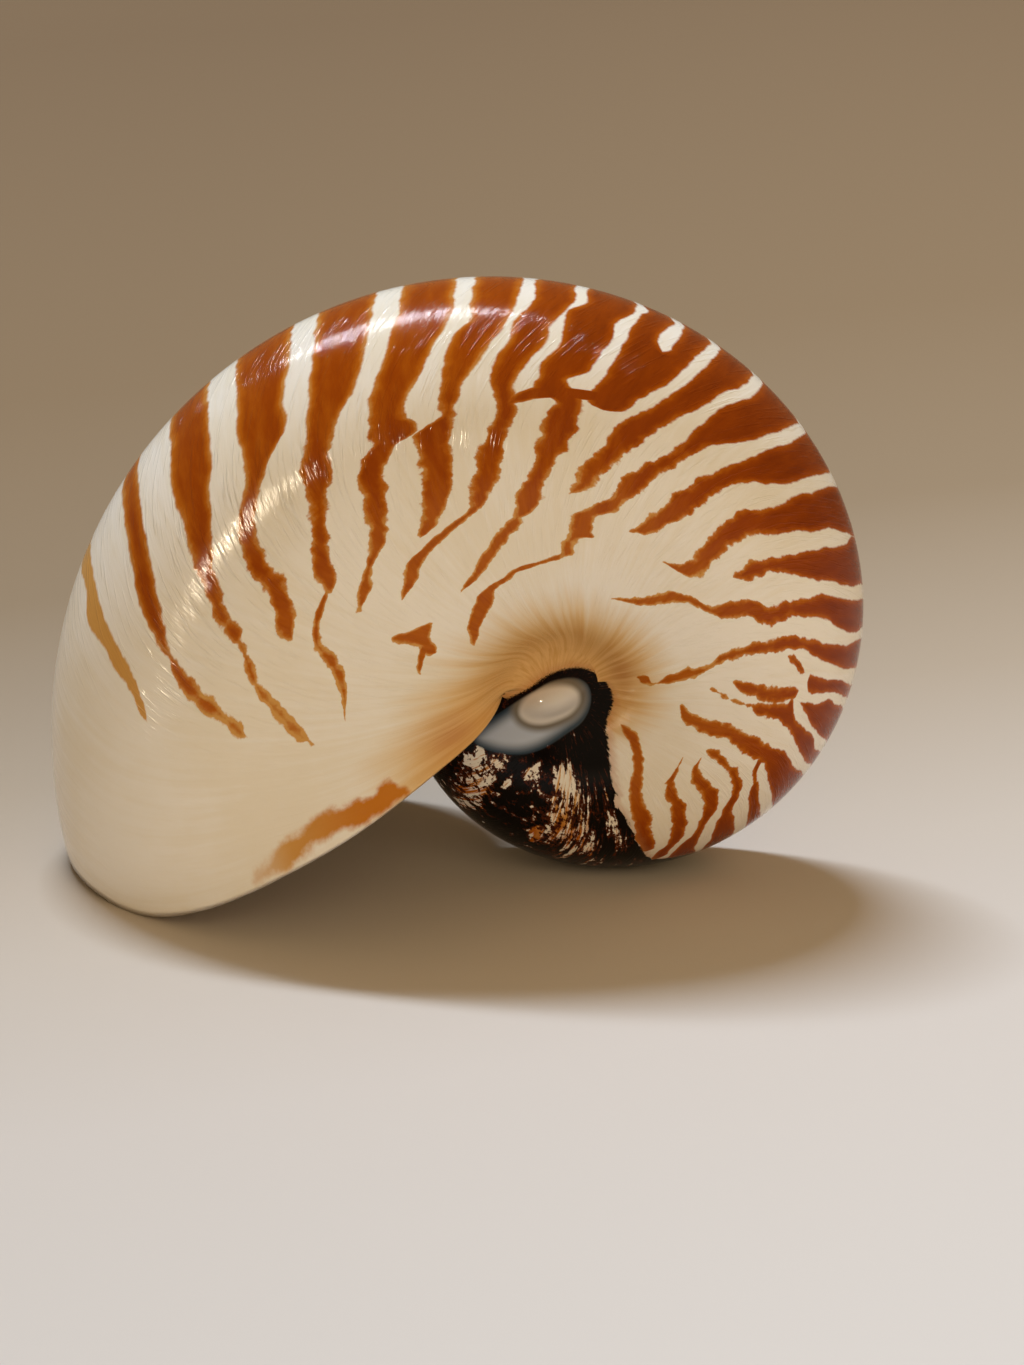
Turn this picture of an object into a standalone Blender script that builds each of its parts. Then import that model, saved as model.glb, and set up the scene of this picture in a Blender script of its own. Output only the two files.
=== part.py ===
"""Nautilus shell, grown as one piece: a coiled, self-similar wall with an open body chamber.

The coiling axis lies along Y and the plane of symmetry is y = 0. The whorl grows
counterclockwise seen from -Y and ends in a downward mouth at -X. The shell stands on its
lip and on the outer curve of the first part of the last whorl, as it rests on a table.
The origin is under the middle of the shell, on the table. Metres, +Z up.
"""
import bmesh
import bpy
import numpy as np

# The spiral. The reference section is the half-plane through the axis in which the
# mouth's foot meets the whorl before it.
WHORL_RADIUS = 0.100            # coiling axis to the outer curve, at the reference section
TURN_GROWTH = 3.17              # how many times larger the shell gets in one full turn
MOUTH_ANGLE = 193.0             # the reference section's direction, from +X towards +Z

# The whorl's section at the reference section, from the outer curve to the umbilicus
HALF_WIDTH = 0.0378             # greatest half-width of the whorl
WIDEST_RADIUS = 0.0536          # distance from the axis at which it is that wide
CROWN_POWER = 0.89              # how square the outer arch is, in its two directions
SIDE_POWER = 1.12
FOOT_RADIUS = 0.0120            # where the umbilical wall lands on the whorl before
FOOT_HEIGHT = 0.0118            # and how far that is from the plane of symmetry
SHOULDER_REACH = 0.45           # umbilical shoulder: where its curve starts to fall
WALL_REACH = 0.80               # and how high up the wall it turns down

# The mouth's edge: how many degrees it runs ahead of the reference section, from the
# outer curve's shallow sinus (share 0 of the half section) over the flank to its foot (1)
LIP_PLACES = (0.0, 0.15, 0.3, 0.5, 0.7, 0.85, 1.0)
LIP_ADVANCE = (8.8, 11.2, 15.1, 16.8, 15.0, 8.2, 0.0)
LIP_LENGTH = 150.0              # degrees of whorl over which the growth lines take that form
START_LENGTH = 60.0             # degrees over which the first rows part from the mouth's floor

# The wall and the chambers
WALL_AT_LIP = 0.0015            # thickness at the mouth
WALL_DEEP = 0.0010              # thickness that it tends to deep inside
CHAMBER_ANGLE = 130.0           # body chamber, from the mouth's foot back to the last septum
SEPTUM_ANGLE = 2.0              # thickness of the septum, as degrees of whorl
SEPTUM_SAG = 13.0               # how far back its middle is dished
SEPTUM_CENTRE = 0.66            # the siphuncle's place, as a share of the whorl's radius
SEPTUM_RINGS = (0.45, 1.0)      # rings of the dish, from its edge (0) to the siphuncle (1)
SIPHUNCLE_RADIUS = 0.0016
GAS_CHAMBER_END = 345.0         # the linked gas chambers end here, in the earliest quarter

# The callus that plugs the umbilicus on each side: a floor at FOOT_HEIGHT, an oval pad that
# spreads over the flank in front of the mouth, and a smaller oval boss on it. Places are
# from the coiling axis, heights from the plane of symmetry, lengths and widths are halves.
PAD_CENTRE = (-0.0058, -0.0068)
PAD_SIZE = (0.0118, 0.0064)
PAD_TOP = 0.0140
PAD_EDGE = 0.0116
BOSS_CENTRE = (-0.0026, -0.0033)
BOSS_SIZE = (0.0072, 0.0038)
BOSS_TOP = 0.0158
BOSS_EDGE = 0.0124
CALLUS_TILT = 25.0              # both ovals' long axis, from +X towards +Z
CALLUS_BLEND = 0.0006           # how softly pad and boss rise from what they lie on
CALLUS_REACH = -200.0           # they lie only on whorl that is older than this

# Facets
TURN_STEPS = 54                 # around the last whorl
FLANK_ROWS = 18                 # from the outer curve to the foot, on each side
ROW_CROWDING = 0.4              # how much closer the rows lie at the umbilicus
LIP_ROWS = 2                    # across the rounded edge of the mouth: outer, nose, inner
CHAMBER_STEPS = 11              # along the body chamber
GAS_CHAMBER_STEPS = 12          # along the gas chambers
CAP_RINGS = 4                   # from the foot to the middle of the umbilicus
CURVE_POINTS = 90               # on the section's arch, and again on its umbilical side
FINE_POINTS = 400               # where a place on the section is looked up

NEAR_SIDE = (1.0, -1.0, 1.0)    # mirrors a flank to the -Y side

SHELL_COLOUR = (0.80, 0.66, 0.47, 1.0)
SHELL_ROUGHNESS = 0.28


def smooth_step(value):
    """An S-curve from 0 to 1, level at both ends."""
    value = np.clip(value, 0.0, 1.0)
    return value * value * (3.0 - 2.0 * value)


def scale_at(degrees):
    """Size of the shell at an angle from the reference section: growth^(turns)."""
    return TURN_GROWTH ** (np.asarray(degrees) / 360.0)


def by_length(points, share):
    """Points at the given shares of a polyline's length."""
    steps = np.hypot(*np.diff(points, axis=0).T)
    along = np.concatenate(([0.0], np.cumsum(steps))) / steps.sum()
    return np.stack([np.interp(share, along, points[:, 0]),
                     np.interp(share, along, points[:, 1])], axis=-1)


def section_curve():
    """Half of the whorl's section: radius and half-width, from the outer curve to the foot.

    The arch is a quarter of a superellipse. The umbilical side is one cubic curve from the
    widest point over the shoulder and down the wall.
    """
    turn = np.linspace(0.0, np.pi / 2.0, CURVE_POINTS)[:, None]
    arch = np.hstack([WIDEST_RADIUS + (WHORL_RADIUS - WIDEST_RADIUS) * np.cos(turn) ** CROWN_POWER,
                      HALF_WIDTH * np.sin(turn) ** SIDE_POWER])
    share = np.linspace(0.0, 1.0, CURVE_POINTS)[1:, None]
    corners = np.array([(WIDEST_RADIUS, HALF_WIDTH),
                        (WIDEST_RADIUS * SHOULDER_REACH, HALF_WIDTH),
                        (FOOT_RADIUS, HALF_WIDTH * WALL_REACH),
                        (FOOT_RADIUS, FOOT_HEIGHT)])
    umbilical = ((1.0 - share) ** 3 * corners[0] + 3.0 * share * (1.0 - share) ** 2 * corners[1]
                 + 3.0 * share ** 2 * (1.0 - share) * corners[2] + share ** 3 * corners[3])
    return np.vstack([arch, umbilical])


SECTION = section_curve()


def place_of_radius(radius):
    """Share of the section's length at which it has the given radius."""
    shares = np.linspace(0.0, 1.0, FINE_POINTS)
    radii = by_length(SECTION, shares)[:, 0]
    return float(np.interp(-radius, -radii, shares))


def place_of_height(height):
    """Share of the section's length at which its umbilical side has the given half-width."""
    shares = np.linspace(0.5, 1.0, FINE_POINTS)
    heights = by_length(SECTION, shares)[:, 1]
    peak = int(np.argmax(heights))
    return float(np.interp(-height, -heights[peak:], shares[peak:]))


def wall_at(degrees):
    """Thickness of the wall: it tapers with the shell, down to a least value."""
    return WALL_DEEP + (WALL_AT_LIP - WALL_DEEP) * scale_at(degrees)


def inner_curve(degrees):
    """The wall's inner face in the section at an angle, ending on the whorl before it."""
    scale = float(scale_at(degrees))
    section = by_length(SECTION, np.linspace(0.0, 1.0, FINE_POINTS))
    outer = section * scale
    along = np.gradient(outer, axis=0)
    along /= np.hypot(along[:, 0], along[:, 1])[:, None]
    inward = np.stack([-along[:, 1], along[:, 0]], axis=-1)
    inner = outer + inward * wall_at(degrees)
    inner[0, 1] = 0.0
    before = section * scale / TURN_GROWTH
    floor = np.interp(inner[:, 0], before[::-1, 0], before[::-1, 1])
    landed = (inner[:, 0] < before[0, 0]) & (inner[:, 1] < floor)
    last = int(np.argmax(landed))
    return np.vstack([inner[:last], [(inner[last, 0], floor[last])]])


def lip_advance(share):
    """Degrees by which a growth line runs ahead: a smooth cubic through the named places.

    Between two places it is the cubic with their values and slopes, level at both ends.
    """
    places, values = np.array(LIP_PLACES), np.array(LIP_ADVANCE)
    slopes = np.gradient(values, places)
    slopes[[0, -1]] = 0.0
    before = np.clip(np.searchsorted(places, share, side="right") - 1, 0, len(places) - 2)
    span = places[before + 1] - places[before]
    part = (share - places[before]) / span
    rise = smooth_step(part)
    start = part * (1.0 - part) ** 2 * span
    end = part ** 2 * (1.0 - part) * span
    return (values[before] * (1.0 - rise) + values[before + 1] * rise
            + slopes[before] * start - slopes[before + 1] * end)


def on_shell(radius, half_width, degrees):
    """Points from radius, distance to the plane of symmetry and angle past the mouth."""
    angle = np.radians(MOUTH_ANGLE + np.asarray(degrees))
    return np.stack([radius * np.cos(angle), half_width + 0.0 * angle, radius * np.sin(angle)], axis=-1)


def with_callus(points):
    """Points raised to the callus where it lies over them: a soft maximum of the heights.

    Each oval is a dome that falls from its top with the square of the distance, as a share
    of its half-length and half-width, and reaches its edge height at 1.
    """
    tilt = np.radians(CALLUS_TILT)
    height = np.abs(points[..., 1])
    for centre, size, top, edge in ((PAD_CENTRE, PAD_SIZE, PAD_TOP, PAD_EDGE),
                                    (BOSS_CENTRE, BOSS_SIZE, BOSS_TOP, BOSS_EDGE)):
        dx, dz = points[..., 0] - centre[0], points[..., 2] - centre[1]
        along = (dx * np.cos(tilt) + dz * np.sin(tilt)) / size[0]
        across = (dz * np.cos(tilt) - dx * np.sin(tilt)) / size[1]
        dome = top - (top - edge) * (along ** 2 + across ** 2)
        height = (height + dome + np.hypot(height - dome, CALLUS_BLEND)) / 2.0
    raised = points.copy()
    raised[..., 1] = np.sign(points[..., 1]) * height
    return raised


# Shares of the half section at which the rows of the outer face lie
EVEN_ROWS = np.arange(FLANK_ROWS + 1) / FLANK_ROWS
FLANK_SHARES = (1.0 - ROW_CROWDING) * EVEN_ROWS + ROW_CROWDING * np.sin(EVEN_ROWS * np.pi / 2.0)
FLOOR_ROWS = FLANK_ROWS - LIP_ROWS
FOOT_ON_WHORL_BEFORE = place_of_radius(FOOT_RADIUS * TURN_GROWTH)
INNER_ON_WHORL_BEFORE = place_of_radius(inner_curve(0.0)[-1, 0] * TURN_GROWTH)


def outer_face():
    """Grid of the outer face: angle by row, from the far foot over the crown to the near one."""
    degrees = np.linspace(-360.0, 0.0, TURN_STEPS + 1)
    lip_rows = np.linspace(INNER_ON_WHORL_BEFORE, FOOT_ON_WHORL_BEFORE, LIP_ROWS + 1)
    start_rows = np.concatenate([np.linspace(0.0, lip_rows[0], FLOOR_ROWS + 1), lip_rows[1:]])
    grid = []
    for angle in degrees:
        last = place_of_height(FOOT_HEIGHT / scale_at(angle))
        if angle == degrees[0]:
            last = FOOT_ON_WHORL_BEFORE
        early = 1.0 - smooth_step((angle - degrees[0]) / START_LENGTH)
        share = last * ((1.0 - early) * FLANK_SHARES + early * start_rows / start_rows[-1])
        advance = lip_advance(FLANK_SHARES) * smooth_step(1.0 + angle / LIP_LENGTH)
        radius, width = by_length(SECTION, share).T
        size = scale_at(angle + advance)
        half = on_shell(radius * size, width * size, angle + advance)
        if angle < CALLUS_REACH:
            half[1:] = with_callus(half[1:])
        grid.append(np.vstack([half[:0:-1], half * NEAR_SIDE]))
    return np.array(grid)


def chamber_loop(degrees):
    """Closed loop around the chamber: the wall's inner face, then the whorl before it."""
    advance = lip_advance(FLANK_SHARES) * smooth_step(1.0 + degrees / LIP_LENGTH)
    curve = inner_curve(degrees)
    radius, width = by_length(curve, FLANK_SHARES).T
    ahead = scale_at(advance)
    half = on_shell(radius * ahead, width * ahead, degrees + advance)
    before = place_of_radius(curve[-1, 0] / scale_at(degrees - 360.0))
    radius, width = by_length(SECTION, np.linspace(0.0, before, FLOOR_ROWS + 1)).T
    size = scale_at(degrees - 360.0)
    floor = on_shell(radius * size, width * size, degrees)
    return np.vstack([half[::-1], half[1:] * NEAR_SIDE, (floor * NEAR_SIDE)[-2::-1], floor[1:-1]])


def septum_ring(loop, degrees, share):
    """Ring of the dished septum, share 0 at the wall and 1 at the siphuncle's hole."""
    flat = np.stack([np.hypot(loop[:, 0], loop[:, 2]), loop[:, 1]], axis=-1)
    centre = np.array([SEPTUM_CENTRE * WHORL_RADIUS * float(scale_at(degrees)), 0.0])
    spoke = flat - centre
    spoke /= np.hypot(spoke[:, 0], spoke[:, 1])[:, None]
    hole = centre + spoke * SIPHUNCLE_RADIUS
    ring = flat + (hole - flat) * share
    sag = SEPTUM_SAG * np.sin(share * np.pi / 2.0)
    twist = np.degrees(np.arctan2(loop[:, 2], loop[:, 0])) - MOUTH_ANGLE
    return on_shell(ring[:, 0], ring[:, 1], twist - sag)


class Skin:
    """Collects rings of vertices and joins them with quads and triangles."""

    def __init__(self):
        self.mesh = bmesh.new()

    def ring(self, points):
        return [self.mesh.verts.new(point) for point in points]

    def join(self, first, second, closed):
        count = len(first) if closed else len(first) - 1
        for index in range(count):
            after = (index + 1) % len(first)
            corners = [first[index], first[after], second[after], second[index]]
            self.mesh.faces.new(list(dict.fromkeys(corners)))

    def fan(self, ring, centre):
        tip = self.mesh.verts.new(centre)
        for index, vert in enumerate(ring):
            self.mesh.faces.new([vert, ring[(index + 1) % len(ring)], tip])


def build_outer_face(skin):
    """Outer face; its first and last columns share the two feet of the mouth."""
    grid = outer_face()
    columns = [skin.ring(points) for points in grid[:-1]]
    mouth = [columns[0][0]] + skin.ring(grid[-1][1:-1]) + [columns[0][-1]]
    columns.append(mouth)
    for first, second in zip(columns, columns[1:]):
        skin.join(first, second, closed=False)
    return grid, columns


def build_callus(skin, grid, columns, side):
    """Callus in the umbilicus of one side, from the foot of the whorl to its middle."""
    edge = grid[:-1, side]
    outer_ring = [column[side] for column in columns[:-1]]
    middle = np.array([BOSS_CENTRE[0], np.sign(edge[0, 1]) * FOOT_HEIGHT, BOSS_CENTRE[1]])
    floor = edge * (1.0, 0.0, 1.0) + (0.0, middle[1], 0.0)
    for step in range(1, CAP_RINGS):
        inner_ring = skin.ring(with_callus(floor + (middle - floor) * step / CAP_RINGS))
        skin.join(outer_ring, inner_ring, closed=True)
        outer_ring = inner_ring
    skin.fan(outer_ring, with_callus(middle))


def build_lip(skin, grid, columns):
    """Rounded edge of the mouth, ending on the whorl before it; returns the inner loop.

    Its rows are the outer edge, the nose and the inner edge. The ends of the last two are
    the vertices next to the foot in the first column.
    """
    outer, inner = grid[-1], chamber_loop(0.0)[:len(grid[-1])]
    middle = (outer + inner) / 2.0
    away = np.cross(middle, (0.0, 1.0, 0.0))
    away /= -np.linalg.norm(away, axis=1)[:, None]
    nose = middle + away * WALL_AT_LIP / 2.0
    before = columns[0]
    nose_ring = [before[1]] + skin.ring(nose[1:-1]) + [before[-2]]
    inner_ring = [before[2]] + skin.ring(inner[1:-1]) + [before[-3]]
    skin.join(columns[-1], nose_ring, closed=False)
    skin.join(nose_ring, inner_ring, closed=False)
    return inner_ring + before[LIP_ROWS + 1:-LIP_ROWS - 1][::-1]


def build_chambers(skin, ring):
    """Body chamber, septum with the siphuncle's hole, and the gas chambers behind it."""
    for angle in np.linspace(0.0, -CHAMBER_ANGLE, CHAMBER_STEPS + 1)[1:]:
        loop = chamber_loop(angle)
        after = skin.ring(loop)
        skin.join(ring, after, closed=True)
        ring = after
    start = -CHAMBER_ANGLE - SEPTUM_ANGLE
    back = chamber_loop(start)
    faces = [(loop, -CHAMBER_ANGLE, share) for share in SEPTUM_RINGS]
    faces += [(back, start, share) for share in reversed(SEPTUM_RINGS)]
    for points, angle, share in faces:
        after = skin.ring(septum_ring(points, angle, share))
        skin.join(ring, after, closed=True)
        ring = after
    for angle in np.linspace(start, -GAS_CHAMBER_END, GAS_CHAMBER_STEPS + 1):
        loop = chamber_loop(angle)
        after = skin.ring(loop)
        skin.join(ring, after, closed=True)
        ring = after
    skin.fan(ring, loop.mean(axis=0))


def shell_material():
    """Glossy porcelain-like shell."""
    material = bpy.data.materials.new("shell")
    material.use_nodes = True
    shader = material.node_tree.nodes["Principled BSDF"]
    shader.inputs["Base Color"].default_value = SHELL_COLOUR
    shader.inputs["Roughness"].default_value = SHELL_ROUGHNESS
    shader.inputs["Metallic"].default_value = 0.0
    material.diffuse_color = SHELL_COLOUR
    return material


def build_shell():
    """The whole shell as one closed body, stood on the table."""
    skin = Skin()
    grid, columns = build_outer_face(skin)
    build_callus(skin, grid, columns, 0)
    build_callus(skin, grid, columns, -1)
    build_chambers(skin, build_lip(skin, grid, columns))
    mesh = skin.mesh
    bmesh.ops.recalc_face_normals(mesh, faces=mesh.faces)
    corners = np.array([vert.co for vert in mesh.verts])
    middle = (corners.min(axis=0) + corners.max(axis=0)) / 2.0
    bmesh.ops.translate(mesh, verts=mesh.verts, vec=(-middle[0], 0.0, -corners[:, 2].min()))
    data = bpy.data.meshes.new("shell")
    mesh.to_mesh(data)
    mesh.free()
    data.materials.append(shell_material())
    data.shade_smooth()
    shell = bpy.data.objects.new("shell", data)
    bpy.context.scene.collection.objects.link(shell)


for old in list(bpy.data.objects):
    bpy.data.objects.remove(old)
build_shell()
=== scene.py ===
import bmesh
import bpy
import numpy as np
from mathutils import Matrix, Vector


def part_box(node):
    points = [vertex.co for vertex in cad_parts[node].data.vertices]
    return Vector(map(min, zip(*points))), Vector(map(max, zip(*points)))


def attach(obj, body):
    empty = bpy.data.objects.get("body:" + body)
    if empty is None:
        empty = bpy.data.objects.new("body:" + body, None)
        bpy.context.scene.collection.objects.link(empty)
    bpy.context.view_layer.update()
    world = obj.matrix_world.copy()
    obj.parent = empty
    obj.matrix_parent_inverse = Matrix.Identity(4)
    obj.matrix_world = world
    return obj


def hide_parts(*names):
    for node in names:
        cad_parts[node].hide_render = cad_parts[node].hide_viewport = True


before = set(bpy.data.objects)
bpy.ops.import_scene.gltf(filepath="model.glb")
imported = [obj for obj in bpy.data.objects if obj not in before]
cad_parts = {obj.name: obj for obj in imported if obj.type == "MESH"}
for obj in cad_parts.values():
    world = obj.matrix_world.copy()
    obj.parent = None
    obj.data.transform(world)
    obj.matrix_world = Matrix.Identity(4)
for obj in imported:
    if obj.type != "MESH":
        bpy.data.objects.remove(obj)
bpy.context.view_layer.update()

# The camera
# At the viewing angle of the photo: almost square to the near flank, 20 degrees above the
# table, with a long lens.
VIEW_TARGET = Vector((0.01081, 0.0, 0.03612))
VIEW_DISTANCE = 0.95947
VIEW_AZIMUTH = np.radians(2.790)
VIEW_ELEVATION = np.radians(20.080)
VIEW_LENS = 135.17
SENSOR_WIDTH = 36.0

view_back = Vector((np.sin(VIEW_AZIMUTH) * np.cos(VIEW_ELEVATION),
                    -np.cos(VIEW_AZIMUTH) * np.cos(VIEW_ELEVATION),
                    np.sin(VIEW_ELEVATION)))
camera = bpy.data.objects.new("camera", bpy.data.cameras.new("camera"))
bpy.context.scene.collection.objects.link(camera)
camera.data.lens = VIEW_LENS
camera.data.sensor_width = SENSOR_WIDTH
camera.location = VIEW_TARGET + view_back * VIEW_DISTANCE
camera.rotation_euler = view_back.to_track_quat("Z", "Y").to_euler()
bpy.context.scene.camera = camera

# The paper it stands on
# A sheet of pale matt paper with painted shade: its colour darkens and warms towards the back and
# darkens on the left.
PAPER_SIZE = 14.0
PAPER_BACK_FROM = -0.25
PAPER_BACK_TO = 0.75
PAPER_TILT = -0.45
PAPER_SIDE = 0.15
PAPER_LEFT_SHADE = 0.89


def srgb(red, green, blue):
    """Linear colour of an 8-bit screen colour, with full opacity."""
    share = np.array((red, green, blue)) / 255.0
    linear = np.where(share <= 0.04045, share / 12.92, ((share + 0.055) / 1.055) ** 2.4)
    return tuple(float(part) for part in linear) + (1.0,)


def set_inputs(tree, node, values):
    """Gives a node's inputs their values: a constant, or another node's output as a link."""
    for socket, value in values.items():
        if isinstance(value, bpy.types.NodeSocket):
            tree.links.new(value, node.inputs[socket])
        else:
            node.inputs[socket].default_value = value


def add_node(tree, kind, values=None, **settings):
    """A shader node with its settings and its inputs' values."""
    new = tree.nodes.new("ShaderNode" + kind)
    for name, setting in settings.items():
        setattr(new, name, setting)
    set_inputs(tree, new, values or {})
    return new


def calc(tree, operation, *values):
    """Result of one Math node."""
    return add_node(tree, "Math", dict(enumerate(values)), operation=operation).outputs[0]


def fade(tree, value, low, high, start=0.0, end=1.0):
    """A smooth step of value: start below low, end above high."""
    step = add_node(tree, "MapRange", {"Value": value, "From Min": low, "From Max": high,
                                       "To Min": start, "To Max": end},
                    interpolation_type="SMOOTHSTEP")
    return step.outputs["Result"]


def blend_colours(tree, share, first, second):
    """Mix of two colours: first at share 0, second at share 1."""
    mixed = add_node(tree, "Mix", {0: share, 6: first, 7: second}, data_type="RGBA")
    return mixed.outputs[2]


def colour_ramp(tree, value, tones):
    """Colour at a value, straight between the tones, which are (value, colour) in order."""
    node = add_node(tree, "ValToRGB", {0: value})
    elements = node.color_ramp.elements
    for element, (place, tone) in zip((elements[0], elements[1]), (tones[0], tones[-1])):
        element.position = place
        element.color = tone
    for place, tone in tones[1:-1]:
        elements.new(place).color = tone
    return node.outputs["Color"]


def noise(tree, place, scale, detail, **more):
    """Noise that lies around a half, with its scale, detail and other inputs."""
    values = {"Vector": place, "Scale": scale, "Detail": detail, **more}
    return add_node(tree, "TexNoise", values).outputs[0]


def relief_normal(tree, height, strength, distance):
    """Normals of a surface with a slight relief, from its height."""
    node = add_node(tree, "Bump", {"Height": height, "Strength": strength, "Distance": distance})
    return node.outputs[0]


def new_material(name):
    """An empty node material with its Principled shader; returns material, tree, shader."""
    material = bpy.data.materials.new(name)
    material.use_nodes = True
    tree = material.node_tree
    return material, tree, tree.nodes["Principled BSDF"]


# Painted shade of the paper: its tone from the front, at 0, to the back, at 1.
PAPER_SHADE_TONES = ((0.00, srgb(228, 221, 216)), (0.15, srgb(220, 210, 202)),
               (0.23, srgb(209, 196, 183)), (0.32, srgb(186, 168, 148)),
               (0.44, srgb(158, 136, 110)), (0.60, srgb(147, 123, 95)),
               (1.00, srgb(134, 110, 84)))

paper_material, paper_tree, paper_shader = new_material("pale_paper")
paper_place = add_node(paper_tree, "TexCoord").outputs["Object"]
paper_axes = add_node(paper_tree, "SeparateXYZ", {0: paper_place}).outputs
paper_depth = calc(paper_tree, "MULTIPLY_ADD", paper_axes["X"], PAPER_TILT, paper_axes["Y"])
paper_share = add_node(paper_tree, "MapRange", {"Value": paper_depth, "From Min": PAPER_BACK_FROM,
                                                "From Max": PAPER_BACK_TO}).outputs["Result"]
paper_shaded_tone = colour_ramp(paper_tree, paper_share, PAPER_SHADE_TONES)
# Painted shade: the paper is darker on the left.
paper_left_painted_shade = fade(paper_tree, paper_axes["X"], -PAPER_SIDE, PAPER_SIDE, PAPER_LEFT_SHADE, 1.0)
paper_colour_with_shade = add_node(paper_tree, "Mix", {0: 1.0, 6: paper_shaded_tone, 7: paper_left_painted_shade},
                        data_type="RGBA", blend_type="MULTIPLY").outputs[2]
paper_grain = noise(paper_tree, paper_place, 900.0, 3.0)
paper_normal = relief_normal(paper_tree, paper_grain, strength=0.08, distance=0.0002)
set_inputs(paper_tree, paper_shader, {"Base Color": paper_colour_with_shade, "Normal": paper_normal,
                                      "Roughness": 0.9, "Specular IOR Level": 0.15})

half_paper = PAPER_SIZE / 2.0
paper_mesh = bpy.data.meshes.new("paper")
paper_mesh.from_pydata([(-half_paper, -half_paper, 0.0), (half_paper, -half_paper, 0.0),
                        (half_paper, half_paper, 0.0), (-half_paper, half_paper, 0.0)],
                       [], [(0, 1, 2, 3)])
paper_mesh.materials.append(paper_material)
paper = bpy.data.objects.new("paper", paper_mesh)
bpy.context.scene.collection.objects.link(paper)

# The light
# A long, narrow window high up behind the shell, a broad, soft one in front on the right,
# and dim, warm light all round. The two windows show in no reflection: the polish reflects
# two lamps of its own, a long one beside the back window and one in front on the left.
# Each is (name, place, direction of its long side, length and width, power, colour).
WINDOWS = (
    ("back_window", (-0.42, 0.92, 2.20), (1.0, -0.1, 0.35), (1.1, 0.12), 56.0, (0.70, 0.84, 1.0)),
    ("front_window", (1.15, -2.50, 1.35), (1.0, 0.0, 0.0), (3.2, 2.4), 30.0, (1.0, 0.80, 0.52)),
)
GLINTS = (
    ("glint", (-0.72, 0.92, 2.08), (1.0, -0.1, 0.35), (1.6, 0.045), 62.0, (0.90, 0.94, 1.0)),
    ("front_lamp", (-1.06, -1.03, 0.57), (-0.7, 0.8, 0.2), (0.26, 0.10), 26.0, (1.0, 0.84, 0.60)),
)
ROOM_COLOUR = (1.0, 0.74, 0.41, 1.0)
ROOM_STRENGTH = 0.29


def add_window(name, place, along, size, power, colour):
    """A bright rectangle that faces the shell, with its long side in the given direction."""
    light = bpy.data.lights.new(name, "AREA")
    light.shape = "RECTANGLE"
    light.size, light.size_y = size
    light.energy = power
    light.color = colour
    window = bpy.data.objects.new(name, light)
    facing = (Vector(place) - VIEW_TARGET).normalized()
    across = facing.cross(Vector(along)).normalized()
    turned = Matrix((across.cross(facing), across, facing)).transposed()
    window.matrix_world = Matrix.Translation(place) @ turned.to_4x4()
    bpy.context.scene.collection.objects.link(window)
    return window


for window in WINDOWS:
    add_window(*window).visible_glossy = False
for glint in GLINTS:
    add_window(*glint).visible_diffuse = False
room = bpy.data.worlds.new("room")
room.use_nodes = True
set_inputs(room.node_tree, room.node_tree.nodes["Background"],
           {"Color": ROOM_COLOUR, "Strength": ROOM_STRENGTH})
bpy.context.scene.world = room
bpy.context.scene.view_settings.view_transform = "Standard"

# The wall of the last whorl
# Porcelain-like shell that the animal laid down at the lip, one growth line after another.
# Its section grows 3.17 times in each turn of the spiral and stays the same in shape.
WHORL_RADIUS = 0.100
TURN_GROWTH = 3.17
MOUTH_ANGLE = 193.0
HALF_WIDTH = 0.0378
WIDEST_RADIUS = 0.0536
CROWN_POWER = 0.89
SIDE_POWER = 1.12
FOOT_RADIUS = 0.0120
FOOT_HEIGHT = 0.0118
SHOULDER_REACH = 0.45
WALL_REACH = 0.80
LIP_PLACES = (0.0, 0.15, 0.3, 0.5, 0.7, 0.85, 1.0)
LIP_ADVANCE = (8.8, 11.2, 15.1, 16.8, 15.0, 8.2, 0.0)
LIP_LENGTH = 150.0
START_BLEND = 60.0
WALL_AT_LIP = 0.0015
WALL_DEEP = 0.0010

TURN_STEPS = 440
FLANK_ROWS = 64
ROW_CROWDING = 0.4
LIP_ROWS = 6
ARC_STEPS = 200
CURVE_STEPS = 600
LOOKUP_STEPS = 800
NEAR_SIDE = np.array((1.0, -1.0, 1.0))


def smooth_step(value):
    """An S-curve from 0 to 1, level at both ends."""
    value = np.clip(value, 0.0, 1.0)
    return value * value * (3.0 - 2.0 * value)


def scale_at(degrees):
    """Size of the shell at an angle from the reference section: growth^(turns)."""
    return TURN_GROWTH ** (np.asarray(degrees) / 360.0)


def by_length(points, share):
    """Points at the given shares of a polyline's length."""
    steps = np.hypot(*np.diff(points, axis=0).T)
    along = np.concatenate(([0.0], np.cumsum(steps))) / steps.sum()
    return np.stack([np.interp(share, along, points[:, 0]),
                     np.interp(share, along, points[:, 1])], axis=-1)


def section_curve():
    """Half of the whorl's section: radius and half-width, from the outer curve to the foot.

    The arch is a quarter of a superellipse. The umbilical side is one cubic curve from the
    widest point over the shoulder and down the wall.
    """
    turn = np.linspace(0.0, np.pi / 2.0, ARC_STEPS)[:, None]
    arch = np.hstack([WIDEST_RADIUS + (WHORL_RADIUS - WIDEST_RADIUS) * np.cos(turn) ** CROWN_POWER,
                      HALF_WIDTH * np.sin(turn) ** SIDE_POWER])
    share = np.linspace(0.0, 1.0, ARC_STEPS)[1:, None]
    corners = np.array([(WIDEST_RADIUS, HALF_WIDTH),
                        (WIDEST_RADIUS * SHOULDER_REACH, HALF_WIDTH),
                        (FOOT_RADIUS, HALF_WIDTH * WALL_REACH),
                        (FOOT_RADIUS, FOOT_HEIGHT)])
    umbilical = ((1.0 - share) ** 3 * corners[0] + 3.0 * share * (1.0 - share) ** 2 * corners[1]
                 + 3.0 * share ** 2 * (1.0 - share) * corners[2] + share ** 3 * corners[3])
    return np.vstack([arch, umbilical])


SECTION = section_curve()


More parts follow.
